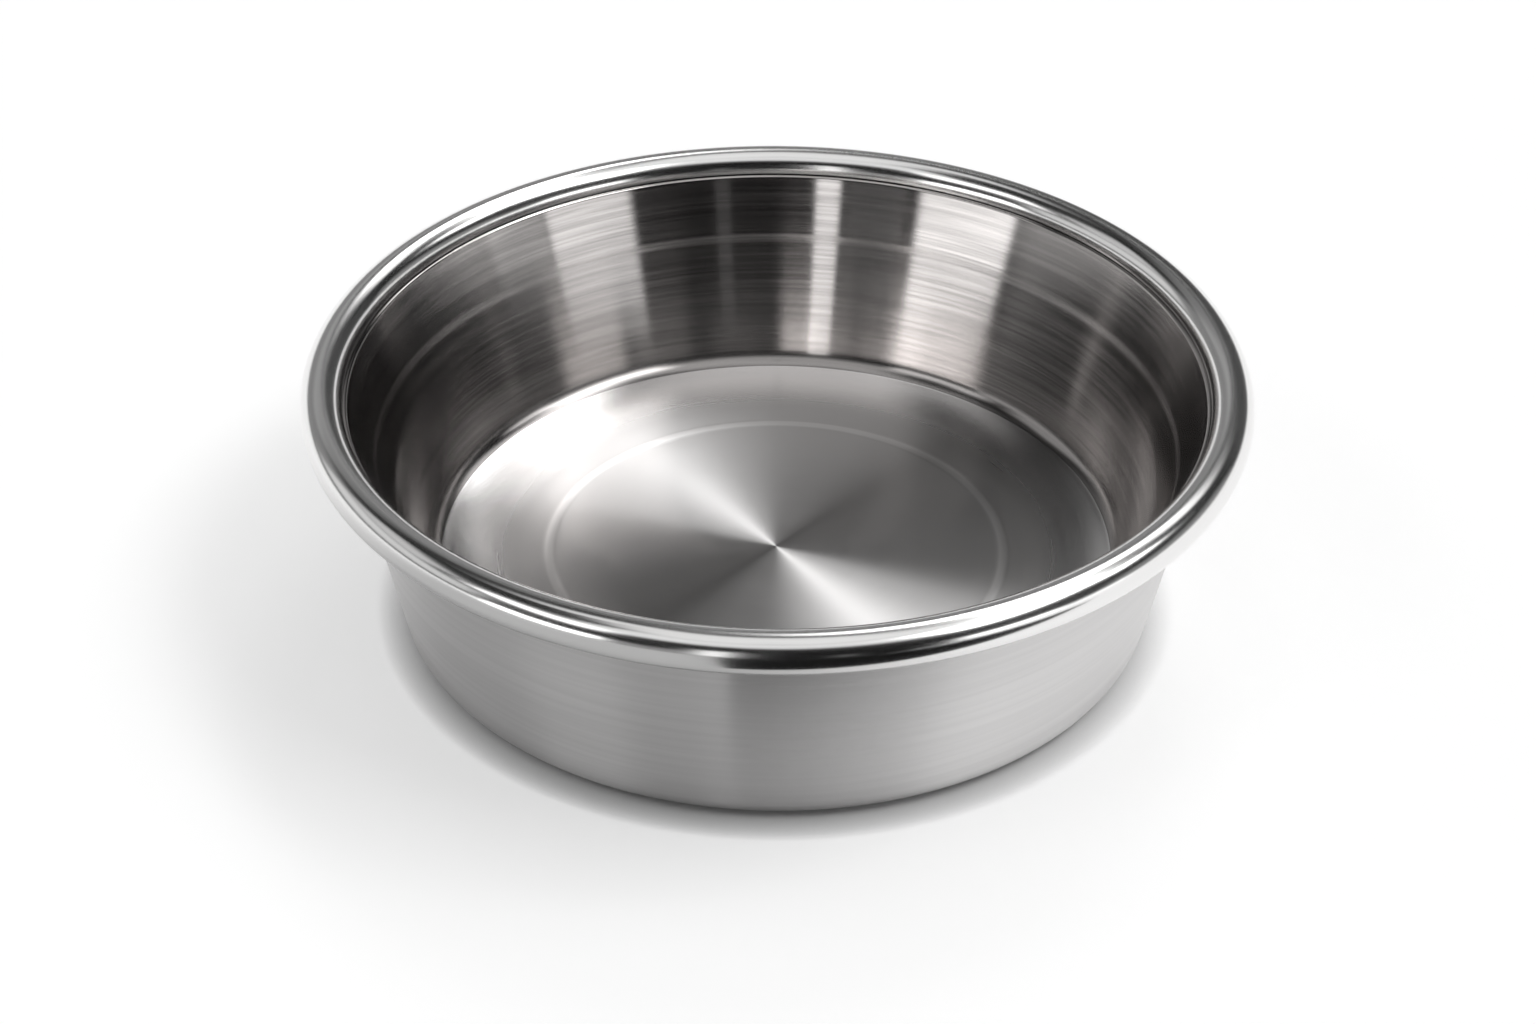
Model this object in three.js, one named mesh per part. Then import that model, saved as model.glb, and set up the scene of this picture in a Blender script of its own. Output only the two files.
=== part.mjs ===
// Double-wall stainless steel pet bowl: a food liner and an outer shell, both drawn from sheet,
// held together by a rolled rim ring that closes over their flanges, on a rubber foot ring.
// Millimetres, +Z up. The origin is on the table, under the centre of the bowl.
import * as THREE from 'three';

// Overall sizes
const rimOuterRadius = 120;
const bowlHeight = 69;

// Sheet thicknesses, the tightest bend a sheet takes, and the gap between pieces that touch
const linerSheet = 0.7;
const shellSheet = 0.7;
const ringSheet = 0.8;
const tightBend = 0.8;
const fitClearance = 0.3;

// Rim ring: radius of the round bead, and how far the flanges reach past the bead's centre
const beadRadius = 5.3;
const flangeReach = 2;

// Inner bowl: a flat floor that rises a little towards its edge, a rounded corner and a leaning wall
const floorHeight = 13.2;
const floorFlatRadius = 80;
const floorEdgeRadius = 89.4;
const floorEdgeRise = 1.75;
const floorDishBend = 50;
const floorCornerBend = 5.2;
const lipSetIn = 0.9;

// Outer shell: bottom corner and the channel pressed up into the bottom for the foot ring
const shellBaseRadius = 96.6;
const shellBaseBend = 5.5;
const channelDepth = 2.6;

// Rubber foot ring: a band that stands out below the steel
const footOuterRadius = 88;
const footWidth = 10;
const footStandOut = 1;
const footEdgeRound = 0.6;

// Steps of the round shapes
const aroundSteps = 64;
const beadSteps = 16;
const wideBendSteps = 4;
const dishSteps = 2;
const tightBendSteps = 2;
const chamferSteps = 1;

// Places worked out from the sizes: the rim, then the two flanges stacked under the ring's upper edge
const beadCentreRadius = rimOuterRadius - beadRadius;
const beadCentreHeight = bowlHeight - beadRadius;
const beadBore = beadRadius - ringSheet;
const flangeEndRadius = beadCentreRadius + flangeReach;
const linerFlangeTop = beadCentreHeight - fitClearance;
const shellFlangeTop = linerFlangeTop - linerSheet - fitClearance;
const shellFlangeUnder = shellFlangeTop - shellSheet;
const ringLowerEdge = shellFlangeUnder - fitClearance;

// The liner's wall runs from the floor's edge to the lip, and the shell's top nests around it
const floorEdgeHeight = floorHeight + floorEdgeRise;
const lipRadius = rimOuterRadius - 2 * beadRadius - lipSetIn;
const wallLean = Math.atan2(lipRadius - floorEdgeRadius, linerFlangeTop - floorEdgeHeight);
const nestedSheets = (linerSheet + fitClearance + shellSheet) / Math.cos(wallLean);
const shellTopRadius = lipRadius - (linerFlangeTop - shellFlangeUnder) * Math.tan(wallLean) + nestedSheets;

// The foot ring and its channel
const footInnerRadius = footOuterRadius - footWidth;
const channelInnerRadius = footInnerRadius - fitClearance;
const channelOuterRadius = footOuterRadius + fitClearance;
const channelTop = footStandOut + channelDepth;
const footTop = channelTop - fitClearance;

// A corner of a section, at a radius and a height, rounded by a bend
function corner(radius, height, bend = 0, steps = 0) {
  return { at: new THREE.Vector2(radius, height), bend, steps };
}

// The unit normal to the left of the line from one corner to the next
function leftNormal(from, to) {
  const along = to.at.clone().sub(from.at).normalize();
  return new THREE.Vector2(-along.y, along.x);
}

// Points of a section line with rounded corners, each with the normal to its left
function roundedLine(corners) {
  const last = corners.length - 1;
  const line = [{ at: corners[0].at, normal: leftNormal(corners[0], corners[1]) }];
  for (let i = 1; i < last; i += 1) {
    const { at, bend, steps } = corners[i];
    const normalIn = leftNormal(corners[i - 1], corners[i]);
    const normalOut = leftNormal(corners[i], corners[i + 1]);
    const turn = Math.atan2(normalIn.cross(normalOut), normalIn.dot(normalOut));
    const side = Math.sign(turn) * bend;
    const centreOffset = side / Math.cos(turn / 2);
    const middleNormal = normalIn.clone().add(normalOut).normalize();
    const centre = at.clone().addScaledVector(middleNormal, centreOffset);
    for (let step = 0; step <= steps; step += 1) {
      const normal = normalIn.clone().rotateAround(new THREE.Vector2(), (turn * step) / steps);
      line.push({ at: centre.clone().addScaledVector(normal, -side), normal });
    }
  }
  line.push({ at: corners[last].at, normal: leftNormal(corners[last - 1], corners[last]) });
  return line;
}

// The section of a sheet: one face follows the line, the other lies a thickness to its left
function sheetSection(line, thickness) {
  const face = line.map(({ at }) => at);
  const back = line.map(({ at, normal }) => at.clone().addScaledVector(normal, thickness));
  return [...face, ...back.reverse()];
}

// A solid of revolution about Z from a section that lies to the right of the axis
function spin(name, section, material) {
  const outline = THREE.ShapeUtils.isClockWise(section) ? [...section].reverse() : section;
  const startsOnAxis = outline[0].x === 0;
  const profile = startsOnAxis ? outline : [...outline, outline[0]];
  const geometry = new THREE.LatheGeometry(profile, aroundSteps);
  geometry.rotateX(Math.PI / 2);
  const mesh = new THREE.Mesh(geometry, material);
  mesh.name = name;
  return mesh;
}

function innerBowl() {
  const foodFace = roundedLine([
    corner(0, floorHeight),
    corner(floorFlatRadius, floorHeight, floorDishBend, dishSteps),
    corner(floorEdgeRadius, floorEdgeHeight, floorCornerBend, wideBendSteps),
    corner(lipRadius, linerFlangeTop, tightBend + linerSheet, tightBendSteps),
    corner(flangeEndRadius, linerFlangeTop),
  ]);
  const polishedSteel = new THREE.MeshStandardMaterial({ color: 0x8f8c89, roughness: 0.22, metalness: 1 });
  return spin('inner_bowl', sheetSection(foodFace, -linerSheet), polishedSteel);
}

function outerShell() {
  const outerBend = tightBend + shellSheet;
  const outsideFace = roundedLine([
    corner(0, footStandOut),
    corner(channelInnerRadius, footStandOut, outerBend, chamferSteps),
    corner(channelInnerRadius, channelTop, tightBend, chamferSteps),
    corner(channelOuterRadius, channelTop, tightBend, chamferSteps),
    corner(channelOuterRadius, footStandOut, outerBend, chamferSteps),
    corner(shellBaseRadius, footStandOut, shellBaseBend, wideBendSteps),
    corner(shellTopRadius, shellFlangeUnder, tightBend, tightBendSteps),
    corner(flangeEndRadius, shellFlangeUnder),
  ]);
  const satinSteel = new THREE.MeshStandardMaterial({ color: 0xa6a5a4, roughness: 0.38, metalness: 1 });
  return spin('outer_shell', sheetSection(outsideFace, shellSheet), satinSteel);
}

// A strip rolled over the flanges: from the lip, over the top and round to just under the shell's flange
function rimRing() {
  const upperEdgeAngle = Math.PI;
  const lowerEdgeAngle = -Math.PI + Math.asin((beadCentreHeight - ringLowerEdge) / beadBore);
  const bead = [];
  for (let step = 0; step <= beadSteps; step += 1) {
    const angle = THREE.MathUtils.lerp(upperEdgeAngle, lowerEdgeAngle, step / beadSteps);
    const normal = new THREE.Vector2(Math.cos(angle), Math.sin(angle));
    const centre = new THREE.Vector2(beadCentreRadius, beadCentreHeight);
    bead.push({ at: centre.addScaledVector(normal, beadRadius), normal });
  }
  const mirrorSteel = new THREE.MeshStandardMaterial({ color: 0xb9b8b6, roughness: 0.1, metalness: 1 });
  return spin('rim_ring', sheetSection(bead, -ringSheet), mirrorSteel);
}

// A rubber band whose upper edges are bevelled to clear the bends of the channel
function footRing() {
  const section = roundedLine([
    corner(footOuterRadius - tightBend, footTop),
    corner(footInnerRadius, footTop, tightBend, chamferSteps),
    corner(footInnerRadius, 0, footEdgeRound, chamferSteps),
    corner(footOuterRadius, 0, footEdgeRound, chamferSteps),
    corner(footOuterRadius, footTop - tightBend),
  ]);
  const blackRubber = new THREE.MeshStandardMaterial({ color: 0x1c1c1c, roughness: 0.8, metalness: 0 });
  return spin('foot_ring', section.map(({ at }) => at), blackRubber);
}

const bowl = new THREE.Group();
bowl.add(innerBowl(), outerShell(), rimRing(), footRing());

export default bowl;
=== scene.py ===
# Looks of a double-wall steel pet bowl: fine meshes, steel finishes, a plain studio and the camera.
import math
from collections import namedtuple

import bpy
from mathutils import Matrix, Vector


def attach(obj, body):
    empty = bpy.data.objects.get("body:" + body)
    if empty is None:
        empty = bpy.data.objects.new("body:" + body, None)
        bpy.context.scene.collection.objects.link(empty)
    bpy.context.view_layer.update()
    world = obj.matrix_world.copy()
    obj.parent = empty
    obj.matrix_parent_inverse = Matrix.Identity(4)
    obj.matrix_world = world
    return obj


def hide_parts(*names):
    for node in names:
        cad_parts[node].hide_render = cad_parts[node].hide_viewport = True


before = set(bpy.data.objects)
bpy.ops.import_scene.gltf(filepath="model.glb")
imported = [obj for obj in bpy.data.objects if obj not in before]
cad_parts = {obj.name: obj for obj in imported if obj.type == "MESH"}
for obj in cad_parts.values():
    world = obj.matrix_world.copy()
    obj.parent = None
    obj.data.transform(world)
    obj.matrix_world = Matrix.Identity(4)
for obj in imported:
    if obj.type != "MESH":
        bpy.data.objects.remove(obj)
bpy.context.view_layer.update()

# Sizes in metres, as in the solids. Only the bend at the liner's lip is tighter here, for a crisp line at
# the rim
RIM_OUTER_RADIUS = 0.120
BOWL_HEIGHT = 0.069
LINER_SHEET = 0.0007
SHELL_SHEET = 0.0007
RING_SHEET = 0.0008
TIGHT_BEND = 0.0008
FIT_CLEARANCE = 0.0003
BEAD_RADIUS = 0.0053
FLANGE_REACH = 0.002
FLOOR_HEIGHT = 0.0132
FLOOR_FLAT_RADIUS = 0.080
FLOOR_EDGE_RADIUS = 0.0894
FLOOR_EDGE_RISE = 0.00175
FLOOR_DISH_BEND = 0.050
FLOOR_CORNER_BEND = 0.0052
LIP_SET_IN = 0.0009
SHELL_BASE_RADIUS = 0.0966
SHELL_BASE_BEND = 0.0055
CHANNEL_DEPTH = 0.0026
FOOT_INNER_RADIUS = 0.078
FOOT_OUTER_RADIUS = 0.088
FOOT_STAND_OUT = 0.001
FOOT_EDGE_ROUND = 0.0006

# Places worked out from the sizes
BEAD_CENTRE_RADIUS = RIM_OUTER_RADIUS - BEAD_RADIUS
BEAD_CENTRE_HEIGHT = BOWL_HEIGHT - BEAD_RADIUS
BEAD_BORE = BEAD_RADIUS - RING_SHEET
FLANGE_END_RADIUS = BEAD_CENTRE_RADIUS + FLANGE_REACH
LINER_FLANGE_TOP = BEAD_CENTRE_HEIGHT - FIT_CLEARANCE
SHELL_FLANGE_TOP = LINER_FLANGE_TOP - LINER_SHEET - FIT_CLEARANCE
SHELL_FLANGE_UNDER = SHELL_FLANGE_TOP - SHELL_SHEET
RING_LOWER_EDGE = SHELL_FLANGE_UNDER - FIT_CLEARANCE
FLOOR_EDGE_HEIGHT = FLOOR_HEIGHT + FLOOR_EDGE_RISE
FLOOR_CORNER_TOP = FLOOR_EDGE_HEIGHT + FLOOR_CORNER_BEND
LIP_RADIUS = RIM_OUTER_RADIUS - 2 * BEAD_RADIUS - LIP_SET_IN
WALL_LEAN = math.atan2(LIP_RADIUS - FLOOR_EDGE_RADIUS, LINER_FLANGE_TOP - FLOOR_EDGE_HEIGHT)
NESTED_SHEETS = (LINER_SHEET + FIT_CLEARANCE + SHELL_SHEET) / math.cos(WALL_LEAN)
SHELL_DROP = LINER_FLANGE_TOP - SHELL_FLANGE_UNDER
SHELL_TOP_RADIUS = LIP_RADIUS - SHELL_DROP * math.tan(WALL_LEAN) + NESTED_SHEETS
CHANNEL_INNER_RADIUS = FOOT_INNER_RADIUS - FIT_CLEARANCE
CHANNEL_OUTER_RADIUS = FOOT_OUTER_RADIUS + FIT_CLEARANCE
CHANNEL_TOP = FOOT_STAND_OUT + CHANNEL_DEPTH
FOOT_TOP = CHANNEL_TOP - FIT_CLEARANCE

# Fine marks that the press leaves in the liner: a ring on the floor and a line round the wall. The mesh has
# fine steps within a reach of each mark
FLOOR_RING_RADIUS = 0.0592
FLOOR_RING_WIDTH = 0.0042
FLOOR_RING_RISE = 0.00012
WALL_LINE_HEIGHT = 0.0473
WALL_LINE_WIDTH = 0.0022
WALL_LINE_DEPTH = 0.00001
MARK_REACH = 0.006
MARK_STEP = 0.00025

# Steps of the fine meshes, as numbers and then in metres
AROUND_STEPS = 360
BEND_STEPS = 12
BEAD_STEPS = 72
STRAIGHT_STEP = 0.004
BEND_SUPPORT = 0.00025

# Limits: the degrees of a sharp edge, how close to the axis a point lies on it, and the cosine between two
# normals above which the stretch between them is straight
SHARP_ANGLE = 35
ON_AXIS = 1e-9
STRAIGHT_COSINE = 0.999999

# Finishes: colours as the share of the light that comes back, and roughness from the smoother to the rougher
# lines. The dull and pale colours of a steel are blended by its marks, and on the liner also by painted
# sheen and painted shade
SPUN_STEEL = (0.52, 0.513, 0.51)
SPUN_STEEL_PALE = (0.85, 0.84, 0.835)
SPUN_ROUGHNESS = (0.29, 0.33)
WALL_STEEL_DULL = (0.22, 0.211, 0.207)
WALL_STEEL_PALE = (0.72, 0.69, 0.677)
WALL_CORNER_ROUGHNESS = 0.18
WALL_ROUGHNESS = 0.15
WALL_ROUGHNESS_CHANGE = (-0.02, 0.02)
OUTSIDE_STEEL_DULL = (0.695, 0.687, 0.685)
OUTSIDE_STEEL_PALE = (0.745, 0.737, 0.735)
OUTSIDE_ROUGHNESS = (0.29, 0.32)
RIM_STEEL = (0.86, 0.855, 0.85)
RIM_ROUGHNESS = (0.17, 0.2)
RUBBER_BLACK = (0.012, 0.012, 0.012)
RUBBER_ROUGHNESS = (0.6, 0.85)
FLOOR_WHITE = (0.68, 0.68, 0.68)
SHEET_BLACK = (0.01, 0.01, 0.01)
PLAIN_WHITE = (1.0, 1.0, 1.0, 1.0)

# How strongly the marks show, as the share of the pale colour that each gives. The ring and the line fade
# between two distances from their middle. The floor is smoother towards its edge, between two radii, and
# paler there, a painted sheen. The wall is paler low down, a painted sheen, and duller in the corner at its
# foot, a painted shade
EDGE_POLISH_AND_SHEEN = (0.067, 0.083)
EDGE_SMOOTHNESS = 0.5
RING_FADE = (0.15 * FLOOR_RING_WIDTH, 0.4 * FLOOR_RING_WIDTH)
RING_PALENESS = 0.4
WALL_LINE_FADE = (0.2 * WALL_LINE_WIDTH, 0.7 * WALL_LINE_WIDTH)
WALL_LINE_PALENESS = 0.3
WALL_LINE_ROUGHNESS = 0.25
STREAK_PALENESS = (0.45, 0.7)
PAINTED_LOW_WALL_SHEEN = 0.2
PAINTED_CORNER_SHADE = 0.35

# Turning lines: the values between which most of a noise lies, those for a fine and a broad noise mixed, the
# fine one's share in that mix, and the lines' detail and depth. A quarter turn of the tangent spreads
# reflections across the lines
NOISE_SPREAD = (0.3, 0.7)
MIXED_SPREAD = (0.35, 0.65)
FINE_SHARE = 0.6
LINE_DETAIL = 1.5
LINE_DEPTH = 0.0001
QUARTER_TURN = 0.25

# The camera: focal length and frame in pixels of the photograph, place in metres and angles in degrees
PHOTO_WIDTH = 1536
FOCAL_PIXELS = 3500
SENSOR_WIDTH = 36.0
CAMERA_PLACE = (0.0, -0.7505, 0.5344)
CAMERA_PAN = -0.163
CAMERA_TILT = 34.222
CAMERA_ROLL = 0.406

# The studio's floor: its radius, and how much it shines by itself where it is seen. Close to the bowl's foot
# that shine is shaded, within a reach and by a power, and the lean keeps most of the shade before the bowl
FLOOR_RADIUS = 12.0
FLOOR_GLOW = 0.48
SHADOW_REACH = 0.0085
SHADOW_DEPTH = 2.0
SHADOW_LEAN = (0.1, 0.9, 0.0)

# The black card before the bowl, by its corners and its height above the floor
CARD_NEAR_LEFT = (-0.02, -0.150)
CARD_NEAR_RIGHT = (0.40, -0.195)
CARD_FAR_LEFT = (-2.2, -10.5)
CARD_FAR_RIGHT = (5.0, -10.5)
CARD_HEIGHT = 0.0008

# The sheet of painted shade on the floor before the bowl, which only reflections show: its radius, its
# height above the floor, how much it takes away, and the angles from straight before the bowl towards the
# right between which it fades in and out
VEIL_RADIUS = 11.0
VEIL_HEIGHT = 0.0004
VEIL_SHARE = 0.5
VEIL_FADE_IN = (-120, -60)
VEIL_FADE_OUT = (-12, 42)

# Softboxes in degrees: azimuth from straight behind the bowl towards the right, elevation above the
# floor, width, height and soft edge, then brightness
ROOM_LIGHT = 0.004
Softbox = namedtuple("Softbox", "azimuth elevation width height edge brightness")
SOFTBOXES = {
    # The main light, from the right and round to behind the bowl
    "key": Softbox(103, 54, 56, 16, 5, 5.6),
    "key_low": Softbox(77, 42, 22, 9, 2, 2.5),
    "key_arc": Softbox(58, 60, 56, 10, 4, 2.6),
    "key_behind": Softbox(25, 53, 13, 11, 2, 3.8),
    "key_behind_low": Softbox(33, 42, 18, 9, 2, 1.4),
    "behind": Softbox(12.5, 48, 20, 16, 3, 3.6),
    # Light from above
    "top": Softbox(0, 84, 360, 24, 4, 0.85),
    "top_front": Softbox(150, 61, 190, 20, 5, 0.85),
    "top_behind": Softbox(0, 64, 90, 18, 6, 0.1),
    "top_left": Softbox(-32, 66, 28, 12, 4, 0.8),
    # Weaker light from the left, and from low down on both sides
    "fill_left": Softbox(-116, 45, 40, 14, 3, 1.8),
    "left_far": Softbox(-70, 40, 34, 14, 3, 0.6),
    "left_behind": Softbox(-20, 35, 30, 18, 4, 0.18),
    "behind_left": Softbox(-25, 20, 60, 26, 5, 0.22),
    "left_low": Softbox(-82, 22, 56, 18, 4, 0.7),
    "behind_right": Softbox(25, 18, 50, 20, 5, 0.05),
    "right_low": Softbox(78, 13, 44, 16, 3, 0.2),
    # Low windows before the bowl, which the back of its wall mirrors as upright bands
    "front_left": Softbox(-128.5, 7.5, 27, 13, 1.5, 2.8),
    "front_left_edge": Softbox(-154, 7, 16, 12, 2, 0.26),
    "front_right": Softbox(128, 7.5, 24, 13, 1.5, 1.95),
    "shoulder": Softbox(107, 6.5, 18, 12, 2, 0.5),
    "strip": Softbox(-166.8, 14.5, 6.5, 26, 0.7, 1.55),
    "faint_strip": Softbox(165, 8, 4, 12, 0.7, 0.16),
    # A pale horizon behind the bowl
    "backdrop": Softbox(0, 0, 230, 14, 1, 1.0),
}


def corner(radius, height, bend=0.0):
    """A corner of a section, rounded by a bend."""
    return Vector((radius, height)), bend


def left_normal(start, end):
    """The direction to the left of a line."""
    along = (end - start).normalized()
    return Vector((-along.y, along.x))


def turned(vector, angle):
    """A plane vector turned anticlockwise."""
    cosine = math.cos(angle)
    sine = math.sin(angle)
    return Vector((vector.x * cosine - vector.y * sine, vector.x * sine + vector.y * cosine))


def rounded_line(corners):
    """Points of a section line with rounded corners, each with the normal to its left."""
    places = [place for place, bend in corners]
    line = [(places[0], left_normal(places[0], places[1]))]
    for i in range(1, len(corners) - 1):
        place, bend = corners[i]
        normal_in = left_normal(places[i - 1], place)
        normal_out = left_normal(place, places[i + 1])
        turn = math.atan2(normal_in.cross(normal_out), normal_in.dot(normal_out))
        side = math.copysign(bend, turn)
        middle = (normal_in + normal_out).normalized()
        centre = place + middle * (side / math.cos(turn / 2))
        for step in range(BEND_STEPS + 1):
            normal = turned(normal_in, turn * step / BEND_STEPS)
            line.append((centre - normal * side, normal))
    line.append((places[-1], left_normal(places[-2], places[-1])))
    return with_straight_points(line)


def with_straight_points(line):
    """The same line with points along its straight stretches, and one close to each end of them."""
    dense = [line[0]]
    for (start, normal_start), (end, normal_end) in zip(line, line[1:]):
        length = (end - start).length
        if length > 4 * BEND_SUPPORT and normal_start.dot(normal_end) > STRAIGHT_COSINE:
            count = max(1, round(length / STRAIGHT_STEP))
            shares = [BEND_SUPPORT / length]
            shares += [i / count for i in range(1, count)]
            shares += [1 - BEND_SUPPORT / length]
            dense += [(start.lerp(end, share), normal_start) for share in shares]
        dense.append((end, normal_end))
    return dense


def sheet_section(line, thickness):
    """The section of a sheet: one face follows the line, the other lies a thickness to its left."""
    face = [place for place, normal in line]
    back = [place + normal * thickness for place, normal in line]
    return face + back[::-1]


def with_next(items):
    """Each item of a closed row with the one after it."""
    return zip(items, items[1:] + items[:1])


def signed_area(section):
    """The area of a section, above 0 if its points run anticlockwise."""
    return sum(a.cross(b) for a, b in with_next(section)) / 2


def turned_rings(section):
    """The vertices of a section turned about Z, and their numbers in a ring for each of its points."""
    vertices = []
    rings = []
    for place in section:
        first = len(vertices)
        if place.x < ON_AXIS:
            rings.append([first] * AROUND_STEPS)
            vertices.append((0.0, 0.0, place.y))
            continue
        rings.append(list(range(first, first + AROUND_STEPS)))
        for step in range(AROUND_STEPS):
            angle = 2 * math.pi * step / AROUND_STEPS
            vertices.append((place.x * math.cos(angle), place.x * math.sin(angle), place.y))
    return vertices, rings


def band_faces(low, high):
    """The faces between two rings: triangles where one ring is a point on the axis, else quads."""
    faces = []
    for step in range(AROUND_STEPS):
        after = (step + 1) % AROUND_STEPS
        loop = [low[step], low[after], high[after], high[step]]
        faces.append(list(dict.fromkeys(loop)))
    return faces


def spin(name, section, materials, material_of=None):
    """A solid of revolution about Z, as an object with smooth faces and the given materials."""
    if signed_area(section) < 0:
        section = section[::-1]
    vertices, rings = turned_rings(section)
    faces = []
    slots = []
    for (start, end), (low, high) in zip(with_next(section), with_next(rings)):
        if start.x < ON_AXIS and end.x < ON_AXIS:
            continue
        slot = material_of((start + end) / 2) if material_of else 0
        faces += band_faces(low, high)
        slots += [slot] * AROUND_STEPS
    mesh = bpy.data.meshes.new(name)
    mesh.from_pydata(vertices, [], faces)
    mesh.polygons.foreach_set("material_index", slots)
    mesh.shade_smooth()
    mesh.set_sharp_from_angle(angle=math.radians(SHARP_ANGLE))
    for material in materials:
        mesh.materials.append(material)
    piece = bpy.data.objects.new(name, mesh)
    bpy.context.scene.collection.objects.link(piece)
    return piece


def hump(distance, width):
    """A smooth rise from 0 at half a width away to 1 in the middle."""
    share = min(1.0, abs(distance) / (width / 2))
    return (1 - share * share) ** 2


def press_marks(line):
    """The liner's food face with the ring on its floor and the line round its wall."""
    marked = []
    for (start, normal), (end, normal_end) in zip(line, line[1:]):
        count = 1
        on_floor = abs(start.x - FLOOR_RING_RADIUS) < MARK_REACH and start.y < FLOOR_EDGE_HEIGHT
        on_wall = abs(start.y - WALL_LINE_HEIGHT) < MARK_REACH
        if on_floor or on_wall:
            count = max(1, round((end - start).length / MARK_STEP))
        for i in range(count):
            place = start.lerp(end, i / count)
            rise = 0.0
            if on_floor:
                rise = FLOOR_RING_RISE * hump(place.x - FLOOR_RING_RADIUS, FLOOR_RING_WIDTH)
            if on_wall:
                rise = -WALL_LINE_DEPTH * hump(place.y - WALL_LINE_HEIGHT, WALL_LINE_WIDTH)
            marked.append((place + normal * rise, normal))
    marked.append(line[-1])
    return marked


# Materials


class Nodes:
    """A node tree, with short calls to add and join nodes."""

    def __init__(self, tree):
        self.tree = tree

    def add(self, kind, **settings):
        node = self.tree.nodes.new("ShaderNode" + kind)
        for key, value in settings.items():
            setattr(node, key, value)
        return node

    def join(self, source, target):
        self.tree.links.new(source, target)

    def put(self, value, target):
        """Joins a socket, or sets a number."""
        if isinstance(value, (int, float)):
            target.default_value = value
        else:
            self.join(value, target)

    def math(self, operation, *values):
        node = self.add("Math", operation=operation)
        for value, target in zip(values, node.inputs):
            self.put(value, target)
        return node.outputs[0]

    def distance(self, value, middle):
        """How far a value is from a middle, on either side."""
        return self.math("ABSOLUTE", self.math("SUBTRACT", value, middle))

    def ramp(self, value, start, end, low, high):
        """A value that goes smoothly from low to high while the first one goes from start to end."""
        node = self.add("MapRange", interpolation_type="SMOOTHSTEP")
        self.join(value, node.inputs["Value"])
        node.inputs["From Min"].default_value = start
        node.inputs["From Max"].default_value = end
        node.inputs["To Min"].default_value = low
        node.inputs["To Max"].default_value = high
        return node.outputs["Result"]

    def blend(self, share, first, second):
        """A colour that goes from the first to the second as the share goes from 0 to 1."""
        node = self.add("Mix", data_type="RGBA")
        self.join(share, node.inputs["Factor"])
        first_in, second_in = [socket for socket in node.inputs if socket.type == "RGBA"]
        first_in.default_value = (*first, 1.0)
        second_in.default_value = (*second, 1.0)
        return [socket for socket in node.outputs if socket.type == "RGBA"][0]


def new_material(name):
    """A material with its nodes and its shader."""
    material = bpy.data.materials.new(name)
    material.use_nodes = True
    shader = material.node_tree.nodes["Principled BSDF"]
    return material, Nodes(material.node_tree), shader


def set_colour(shader, colour):
    """Gives a shader one colour all over."""
    shader.inputs["Base Color"].default_value = (*colour, 1.0)


BowlPlace = namedtuple("BowlPlace", "around radius height")


def place_on_bowl(nodes):
    """The direction round the axis, the radius and the height of a point."""
    coordinates = nodes.add("TexCoord")
    split = nodes.add("SeparateXYZ")
    nodes.join(coordinates.outputs["Object"], split.inputs[0])
    flat = nodes.add("CombineXYZ")
    nodes.join(split.outputs["X"], flat.inputs["X"])
    nodes.join(split.outputs["Y"], flat.inputs["Y"])
    radius = nodes.add("VectorMath", operation="LENGTH")
    nodes.join(flat.outputs[0], radius.inputs[0])
    around = nodes.add("VectorMath", operation="NORMALIZE")
    nodes.join(flat.outputs[0], around.inputs[0])
    return BowlPlace(around.outputs[0], radius.outputs["Value"], split.outputs["Z"])


def turning_lines(nodes, around, along, fine, slow):
    """Noise drawn out round the axis, as a tool leaves it: fine across the lines, slow along them."""
    split = nodes.add("SeparateXYZ")
    nodes.join(around, split.inputs[0])
    place = nodes.add("CombineXYZ")
    nodes.join(nodes.math("MULTIPLY", split.outputs["X"], slow), place.inputs["X"])
    nodes.join(nodes.math("MULTIPLY", split.outputs["Y"], slow), place.inputs["Y"])
    nodes.join(nodes.math("MULTIPLY", along, fine), place.inputs["Z"])
    lines = nodes.add("TexNoise")
    lines.inputs["Scale"].default_value = 1.0
    lines.inputs["Detail"].default_value = LINE_DETAIL
    nodes.join(place.outputs[0], lines.inputs["Vector"])
    return lines.outputs["Fac"]


def brushed_steel(nodes, shader, lines, roughness, anisotropy, bump):
    """Steel that spreads reflections across its lines and keeps them sharp along the lines."""
    bumps = nodes.add("Bump")
    bumps.inputs["Strength"].default_value = bump
    bumps.inputs["Distance"].default_value = LINE_DEPTH
    nodes.join(lines, bumps.inputs["Height"])
    nodes.join(bumps.outputs[0], shader.inputs["Normal"])
    tangent = nodes.add("Tangent", direction_type="RADIAL", axis="Z")
    nodes.join(tangent.outputs[0], shader.inputs["Tangent"])
    nodes.join(roughness, shader.inputs["Roughness"])
    shader.inputs["Metallic"].default_value = 1.0
    shader.inputs["Anisotropic"].default_value = anisotropy
    shader.inputs["Anisotropic Rotation"].default_value = QUARTER_TURN


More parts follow.
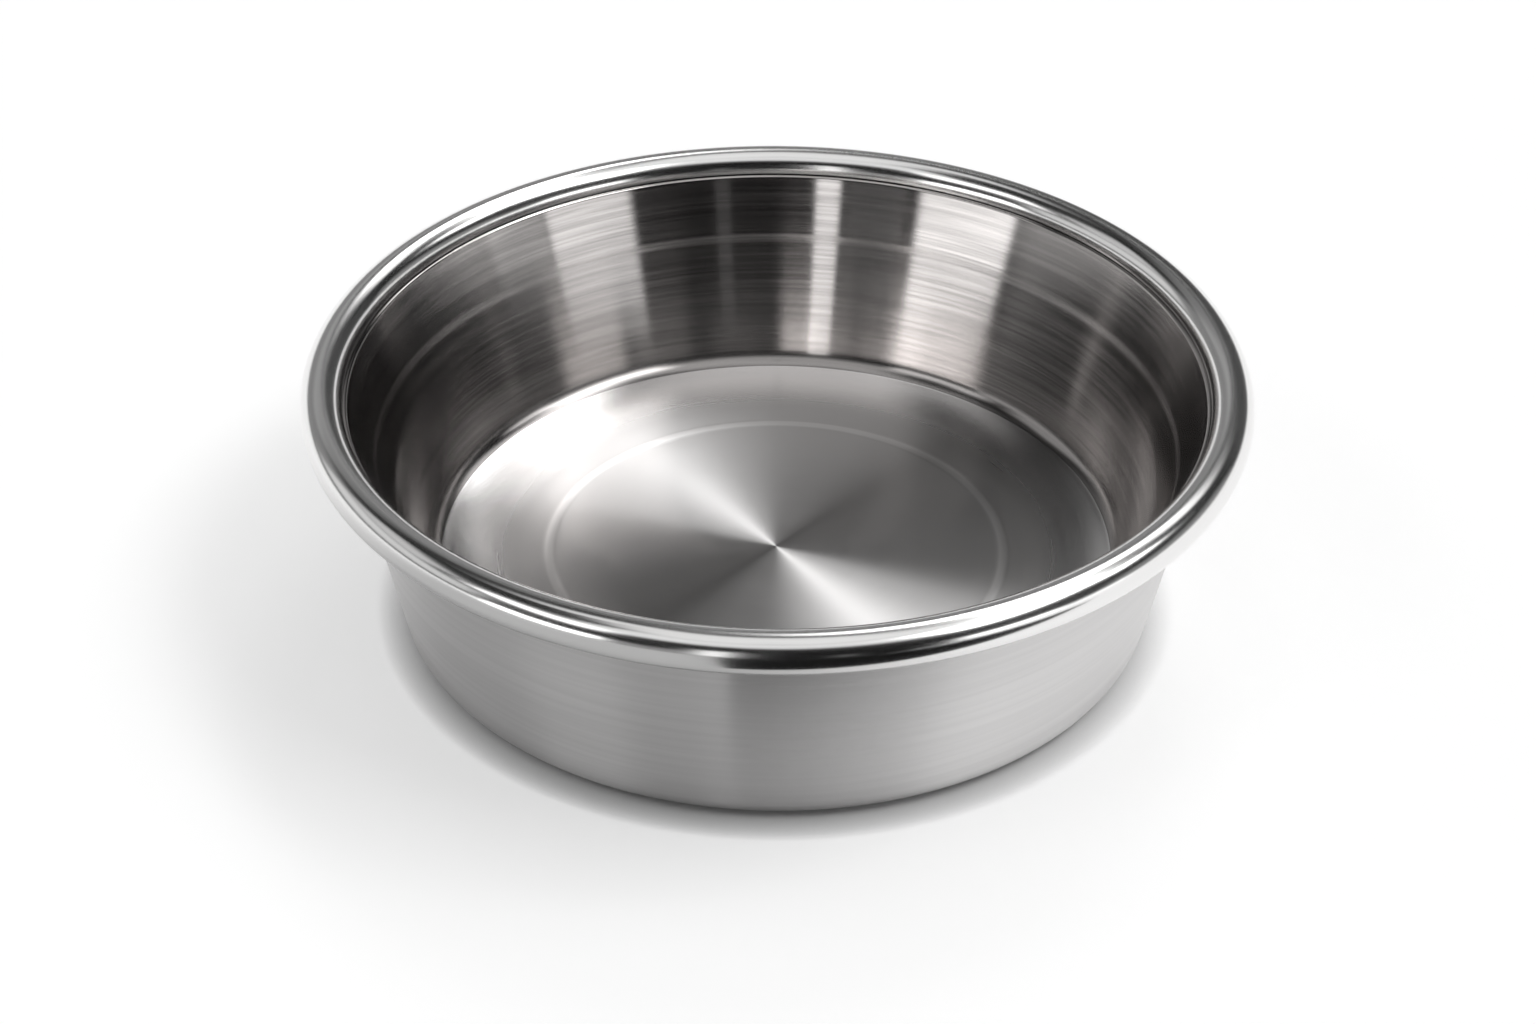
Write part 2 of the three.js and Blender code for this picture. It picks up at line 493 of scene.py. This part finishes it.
def spun_floor():
    """Steel spun about its centre, with a pale ring, smoother towards its edge and paler there as a painted
    sheen.
    """
    material, nodes, shader = new_material("spun_floor")
    place = place_on_bowl(nodes)
    fine = turning_lines(nodes, place.around, place.radius, fine=1100, slow=1.0)
    broad = turning_lines(nodes, place.around, place.radius, fine=260, slow=0.7)
    fine_part = nodes.math("MULTIPLY", fine, FINE_SHARE)
    broad_part = nodes.math("MULTIPLY", broad, 1 - FINE_SHARE)
    lines = nodes.math("ADD", fine_part, broad_part)
    spun = nodes.ramp(lines, *MIXED_SPREAD, *SPUN_ROUGHNESS)
    smoother = nodes.ramp(place.radius, *EDGE_POLISH_AND_SHEEN, 1.0, EDGE_SMOOTHNESS)
    roughness = nodes.math("MULTIPLY", spun, smoother)
    off_ring = nodes.distance(place.radius, FLOOR_RING_RADIUS)
    ring = nodes.ramp(off_ring, *RING_FADE, RING_PALENESS, 0.0)
    # A painted sheen: the floor is paler towards its edge
    edge = nodes.ramp(place.radius, *EDGE_POLISH_AND_SHEEN, 0.0, 1.0)
    pale = nodes.math("MAXIMUM", ring, edge)
    nodes.join(nodes.blend(pale, SPUN_STEEL, SPUN_STEEL_PALE), shader.inputs["Base Color"])
    brushed_steel(nodes, shader, lines, roughness, anisotropy=1.0, bump=0.008)
    return material


def polished_wall():
    """Polished steel with faint streaks, a pale line, a painted sheen low down and painted shade in the
    floor's corner.
    """
    material, nodes, shader = new_material("polished_wall")
    place = place_on_bowl(nodes)
    corner_heights = (FLOOR_EDGE_HEIGHT, FLOOR_CORNER_TOP)
    off_line = nodes.distance(place.height, WALL_LINE_HEIGHT)
    pale_line = nodes.ramp(off_line, *WALL_LINE_FADE, WALL_LINE_PALENESS, 0.0)
    lines = turning_lines(nodes, place.around, place.height, fine=2000, slow=1.5)
    roughness = nodes.ramp(place.height, *corner_heights, WALL_CORNER_ROUGHNESS, WALL_ROUGHNESS)
    roughness = nodes.math("ADD", roughness, nodes.ramp(lines, *NOISE_SPREAD, *WALL_ROUGHNESS_CHANGE))
    roughness = nodes.math("ADD", roughness, nodes.math("MULTIPLY", pale_line, WALL_LINE_ROUGHNESS))
    streak_lines = turning_lines(nodes, place.around, place.height, fine=700, slow=2.5)
    streaks = nodes.ramp(streak_lines, *NOISE_SPREAD, *STREAK_PALENESS)
    # A painted sheen: the wall is paler low down, just above the corner
    painted_low_sheen = nodes.ramp(place.height, FLOOR_CORNER_TOP, 2 * FLOOR_CORNER_TOP, PAINTED_LOW_WALL_SHEEN, 0.0)
    marks = nodes.math("ADD", nodes.math("ADD", streaks, pale_line), painted_low_sheen)
    # Painted shade: in the corner at the wall's foot the marks keep only a share, so the corner is duller
    painted_corner_shade = nodes.ramp(place.height, *corner_heights, PAINTED_CORNER_SHADE, 1.0)
    pale = nodes.math("MULTIPLY", marks, painted_corner_shade)
    nodes.join(nodes.blend(pale, WALL_STEEL_DULL, WALL_STEEL_PALE), shader.inputs["Base Color"])
    brushed_steel(nodes, shader, lines, roughness, anisotropy=1.0, bump=0.015)
    return material


def satin_outside():
    """Satin steel, brushed round the bowl."""
    material, nodes, shader = new_material("satin_outside")
    place = place_on_bowl(nodes)
    lines = turning_lines(nodes, place.around, place.height, fine=500, slow=1.0)
    tone = nodes.ramp(lines, *NOISE_SPREAD, 0.0, 1.0)
    nodes.join(nodes.blend(tone, OUTSIDE_STEEL_DULL, OUTSIDE_STEEL_PALE), shader.inputs["Base Color"])
    roughness = nodes.ramp(lines, *NOISE_SPREAD, *OUTSIDE_ROUGHNESS)
    brushed_steel(nodes, shader, lines, roughness, anisotropy=1.0, bump=0.01)
    return material


def mirror_rim():
    """Steel polished like a mirror, with hardly a line."""
    material, nodes, shader = new_material("mirror_rim")
    set_colour(shader, RIM_STEEL)
    place = place_on_bowl(nodes)
    lines = turning_lines(nodes, place.around, place.height, fine=1500, slow=1.5)
    roughness = nodes.ramp(lines, *NOISE_SPREAD, *RIM_ROUGHNESS)
    brushed_steel(nodes, shader, lines, roughness, anisotropy=0.2, bump=0.01)
    return material


def black_rubber():
    """Dull rubber with a fine grain."""
    material, nodes, shader = new_material("black_rubber")
    set_colour(shader, RUBBER_BLACK)
    grain = nodes.add("TexNoise")
    grain.inputs["Scale"].default_value = 900.0
    nodes.join(nodes.add("TexCoord").outputs["Object"], grain.inputs["Vector"])
    roughness = nodes.ramp(grain.outputs["Fac"], *NOISE_SPREAD, *RUBBER_ROUGHNESS)
    nodes.join(roughness, shader.inputs["Roughness"])
    bumps = nodes.add("Bump")
    bumps.inputs["Strength"].default_value = 0.2
    bumps.inputs["Distance"].default_value = 0.0002
    nodes.join(grain.outputs["Fac"], bumps.inputs["Height"])
    nodes.join(bumps.outputs[0], shader.inputs["Normal"])
    return material


# Pieces


def inner_bowl():
    """The liner: floor, dished edge, corner, leaning wall, lip and flange."""
    food_face = rounded_line([
        corner(0.0, FLOOR_HEIGHT),
        corner(FLOOR_FLAT_RADIUS, FLOOR_HEIGHT, FLOOR_DISH_BEND),
        corner(FLOOR_EDGE_RADIUS, FLOOR_EDGE_HEIGHT, FLOOR_CORNER_BEND),
        corner(LIP_RADIUS, LINER_FLANGE_TOP, TIGHT_BEND),
        corner(FLANGE_END_RADIUS, LINER_FLANGE_TOP),
    ])
    section = sheet_section(press_marks(food_face), -LINER_SHEET)
    return spin("inner_bowl_fine", section, [spun_floor(), polished_wall()], liner_finish)


def liner_finish(place):
    """The floor is spun, and its corner and the wall are polished."""
    return 0 if place.x < FLOOR_EDGE_RADIUS - FLOOR_CORNER_BEND / 2 else 1


def outer_shell():
    """The outside: flat bottom with the foot's channel, rounded base, leaning wall and flange."""
    outer_bend = TIGHT_BEND + SHELL_SHEET
    outside_face = rounded_line([
        corner(0.0, FOOT_STAND_OUT),
        corner(CHANNEL_INNER_RADIUS, FOOT_STAND_OUT, outer_bend),
        corner(CHANNEL_INNER_RADIUS, CHANNEL_TOP, TIGHT_BEND),
        corner(CHANNEL_OUTER_RADIUS, CHANNEL_TOP, TIGHT_BEND),
        corner(CHANNEL_OUTER_RADIUS, FOOT_STAND_OUT, outer_bend),
        corner(SHELL_BASE_RADIUS, FOOT_STAND_OUT, SHELL_BASE_BEND),
        corner(SHELL_TOP_RADIUS, SHELL_FLANGE_UNDER, TIGHT_BEND),
        corner(FLANGE_END_RADIUS, SHELL_FLANGE_UNDER),
    ])
    return spin("outer_shell_fine", sheet_section(outside_face, SHELL_SHEET), [satin_outside()])


def rim_ring():
    """A strip rolled over the flanges: from the lip, over the top and round to under the shell's flange."""
    upper_edge = math.pi
    lower_edge = -math.pi + math.asin((BEAD_CENTRE_HEIGHT - RING_LOWER_EDGE) / BEAD_BORE)
    centre = Vector((BEAD_CENTRE_RADIUS, BEAD_CENTRE_HEIGHT))
    bead = []
    for step in range(BEAD_STEPS + 1):
        angle = upper_edge + (lower_edge - upper_edge) * step / BEAD_STEPS
        normal = Vector((math.cos(angle), math.sin(angle)))
        bead.append((centre + normal * BEAD_RADIUS, normal))
    return spin("rim_ring_fine", sheet_section(bead, -RING_SHEET), [mirror_rim()])


def foot_ring():
    """A rubber band in the channel, with rounded edges that touch the table."""
    line = rounded_line([
        corner(FOOT_OUTER_RADIUS - TIGHT_BEND, FOOT_TOP),
        corner(FOOT_INNER_RADIUS, FOOT_TOP, TIGHT_BEND),
        corner(FOOT_INNER_RADIUS, 0.0, FOOT_EDGE_ROUND),
        corner(FOOT_OUTER_RADIUS, 0.0, FOOT_EDGE_ROUND),
        corner(FOOT_OUTER_RADIUS, FOOT_TOP - TIGHT_BEND),
    ])
    return spin("foot_ring_fine", [place for place, normal in line], [black_rubber()])


def dress(piece, node):
    """Puts a fine piece in the place of its solid."""
    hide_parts(node)
    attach(piece, "root")


# Studio


def seen_directly(nodes):
    """1 for rays from the camera and for those that a mirror or glass sends on, else 0."""
    path = nodes.add("LightPath")
    mirrored = nodes.math("MAXIMUM", path.outputs["Is Glossy Ray"], path.outputs["Is Transmission Ray"])
    return nodes.math("MAXIMUM", path.outputs["Is Camera Ray"], mirrored)


def contact_shade(nodes):
    """1 on the open floor, and less close before the bowl."""
    leaning = nodes.add("VectorMath", operation="ADD")
    nodes.join(nodes.add("NewGeometry").outputs["Normal"], leaning.inputs[0])
    leaning.inputs[1].default_value = SHADOW_LEAN
    direction = nodes.add("VectorMath", operation="NORMALIZE")
    nodes.join(leaning.outputs[0], direction.inputs[0])
    open_share = nodes.add("AmbientOcclusion", samples=8)
    open_share.inputs["Distance"].default_value = SHADOW_REACH
    nodes.join(direction.outputs[0], open_share.inputs["Normal"])
    return nodes.math("POWER", open_share.outputs["AO"], SHADOW_DEPTH)


def flat_disc(name, radius, height, steps):
    """A round sheet that lies level about the axis."""
    place = (0, 0, height)
    bpy.ops.mesh.primitive_circle_add(vertices=steps, radius=radius, fill_type="NGON", location=place)
    disc = bpy.context.object
    disc.name = name
    return disc


def pale_floor():
    """A pale floor, which also shines a little where it is seen."""
    floor = flat_disc("floor", FLOOR_RADIUS, height=0, steps=128)
    material, nodes, shader = new_material("pale_floor")
    set_colour(shader, FLOOR_WHITE)
    shader.inputs["Roughness"].default_value = 0.9
    shader.inputs["Specular IOR Level"].default_value = 0.1
    shader.inputs["Emission Color"].default_value = PLAIN_WHITE
    glow = nodes.math("MULTIPLY", seen_directly(nodes), FLOOR_GLOW)
    shaded = nodes.math("MULTIPLY", glow, contact_shade(nodes))
    nodes.join(shaded, shader.inputs["Emission Strength"])
    floor.data.materials.append(material)


def matt_black(name):
    """A black material without gloss, with its nodes and its shader."""
    material, nodes, shader = new_material(name)
    set_colour(shader, SHEET_BLACK)
    shader.inputs["Roughness"].default_value = 1.0
    shader.inputs["Specular IOR Level"].default_value = 0.0
    return material, nodes, shader


def dark_card():
    """A black card that lies before the bowl, for the rim to mirror."""
    outline = [CARD_NEAR_LEFT, CARD_FAR_LEFT, CARD_FAR_RIGHT, CARD_NEAR_RIGHT]
    corners = [(x, y, CARD_HEIGHT) for x, y in outline]
    mesh = bpy.data.meshes.new("dark_card")
    mesh.from_pydata(corners, [], [(0, 1, 2, 3)])
    mesh.materials.append(matt_black("dark_card")[0])
    card = bpy.data.objects.new("dark_card", mesh)
    bpy.context.scene.collection.objects.link(card)
    only_mirrored(card)


def painted_shade_veil():
    """A dark sheet on the floor before the bowl and to its left, which the outside mirrors: painted shade.
    """
    veil = flat_disc("painted_shade_veil", VEIL_RADIUS, VEIL_HEIGHT, steps=64)
    material, nodes, shader = matt_black("painted_shade_veil")
    split = nodes.add("SeparateXYZ")
    nodes.join(nodes.add("TexCoord").outputs["Object"], split.inputs[0])
    forward = nodes.math("MULTIPLY", split.outputs["Y"], -1.0)
    azimuth = nodes.math("DEGREES", nodes.math("ARCTAN2", split.outputs["X"], forward))
    fade_in = nodes.ramp(azimuth, *VEIL_FADE_IN, 0.0, VEIL_SHARE)
    fade_out = nodes.ramp(azimuth, *VEIL_FADE_OUT, 1.0, 0.0)
    # The painted shade's share, faded by the angle round the bowl
    nodes.join(nodes.math("MULTIPLY", fade_in, fade_out), shader.inputs["Alpha"])
    veil.data.materials.append(material)
    only_mirrored(veil)


def only_mirrored(sheet):
    """Makes a sheet of the studio one that only reflections show."""
    sheet.visible_camera = False
    sheet.visible_diffuse = False
    sheet.visible_shadow = False


def within(nodes, distance, reach, edge):
    """1 where a distance is below a reach, and softly 0 beyond it."""
    return nodes.ramp(distance, reach - edge, reach + edge, 1.0, 0.0)


def softbox(nodes, azimuth, elevation, box):
    """The light that a soft-edged window in the sky gives in a direction."""
    turn = nodes.math("SUBTRACT", azimuth, box.azimuth)
    aside = nodes.math("ABSOLUTE", nodes.math("WRAP", turn, 180.0, -180.0))
    above = nodes.distance(elevation, box.elevation)
    across = within(nodes, aside, box.width / 2, box.edge)
    upright = within(nodes, above, box.height / 2, box.edge)
    return nodes.math("MULTIPLY", nodes.math("MULTIPLY", across, upright), box.brightness)


def studio_light():
    """A dim room, with softboxes far away."""
    world = bpy.data.worlds.new("studio")
    bpy.context.scene.world = world
    world.use_nodes = True
    nodes = Nodes(world.node_tree)
    split = nodes.add("SeparateXYZ")
    nodes.join(nodes.add("TexCoord").outputs["Generated"], split.inputs[0])
    azimuth = nodes.math("DEGREES", nodes.math("ARCTAN2", split.outputs["X"], split.outputs["Y"]))
    elevation = nodes.math("DEGREES", nodes.math("ARCSINE", split.outputs["Z"]))
    light = ROOM_LIGHT
    for box in SOFTBOXES.values():
        light = nodes.math("ADD", light, softbox(nodes, azimuth, elevation, box))
    background = world.node_tree.nodes["Background"]
    background.inputs["Color"].default_value = PLAIN_WHITE
    nodes.join(light, background.inputs["Strength"])


def camera():
    """The photograph's camera."""
    data = bpy.data.cameras.new("camera")
    data.sensor_width = SENSOR_WIDTH
    data.lens = FOCAL_PIXELS / PHOTO_WIDTH * SENSOR_WIDTH
    view = bpy.data.objects.new("camera", data)
    bpy.context.scene.collection.objects.link(view)
    pan = math.radians(CAMERA_PAN)
    tilt = math.radians(CAMERA_TILT)
    roll = math.radians(CAMERA_ROLL)
    forward = Vector((math.sin(pan) * math.cos(tilt), math.cos(pan) * math.cos(tilt), -math.sin(tilt)))
    level = Vector((math.cos(pan), -math.sin(pan), 0.0))
    upright = level.cross(forward)
    right = level * math.cos(roll) + upright * math.sin(roll)
    up = upright * math.cos(roll) - level * math.sin(roll)
    turn = Matrix((right, up, -forward)).transposed().to_4x4()
    view.matrix_world = Matrix.Translation(CAMERA_PLACE) @ turn
    bpy.context.scene.camera = view


bpy.context.scene.view_settings.view_transform = "Standard"
camera()
dress(inner_bowl(), "inner_bowl")
dress(outer_shell(), "outer_shell")
dress(rim_ring(), "rim_ring")
dress(foot_ring(), "foot_ring")
pale_floor()
dark_card()
painted_shade_veil()
studio_light()
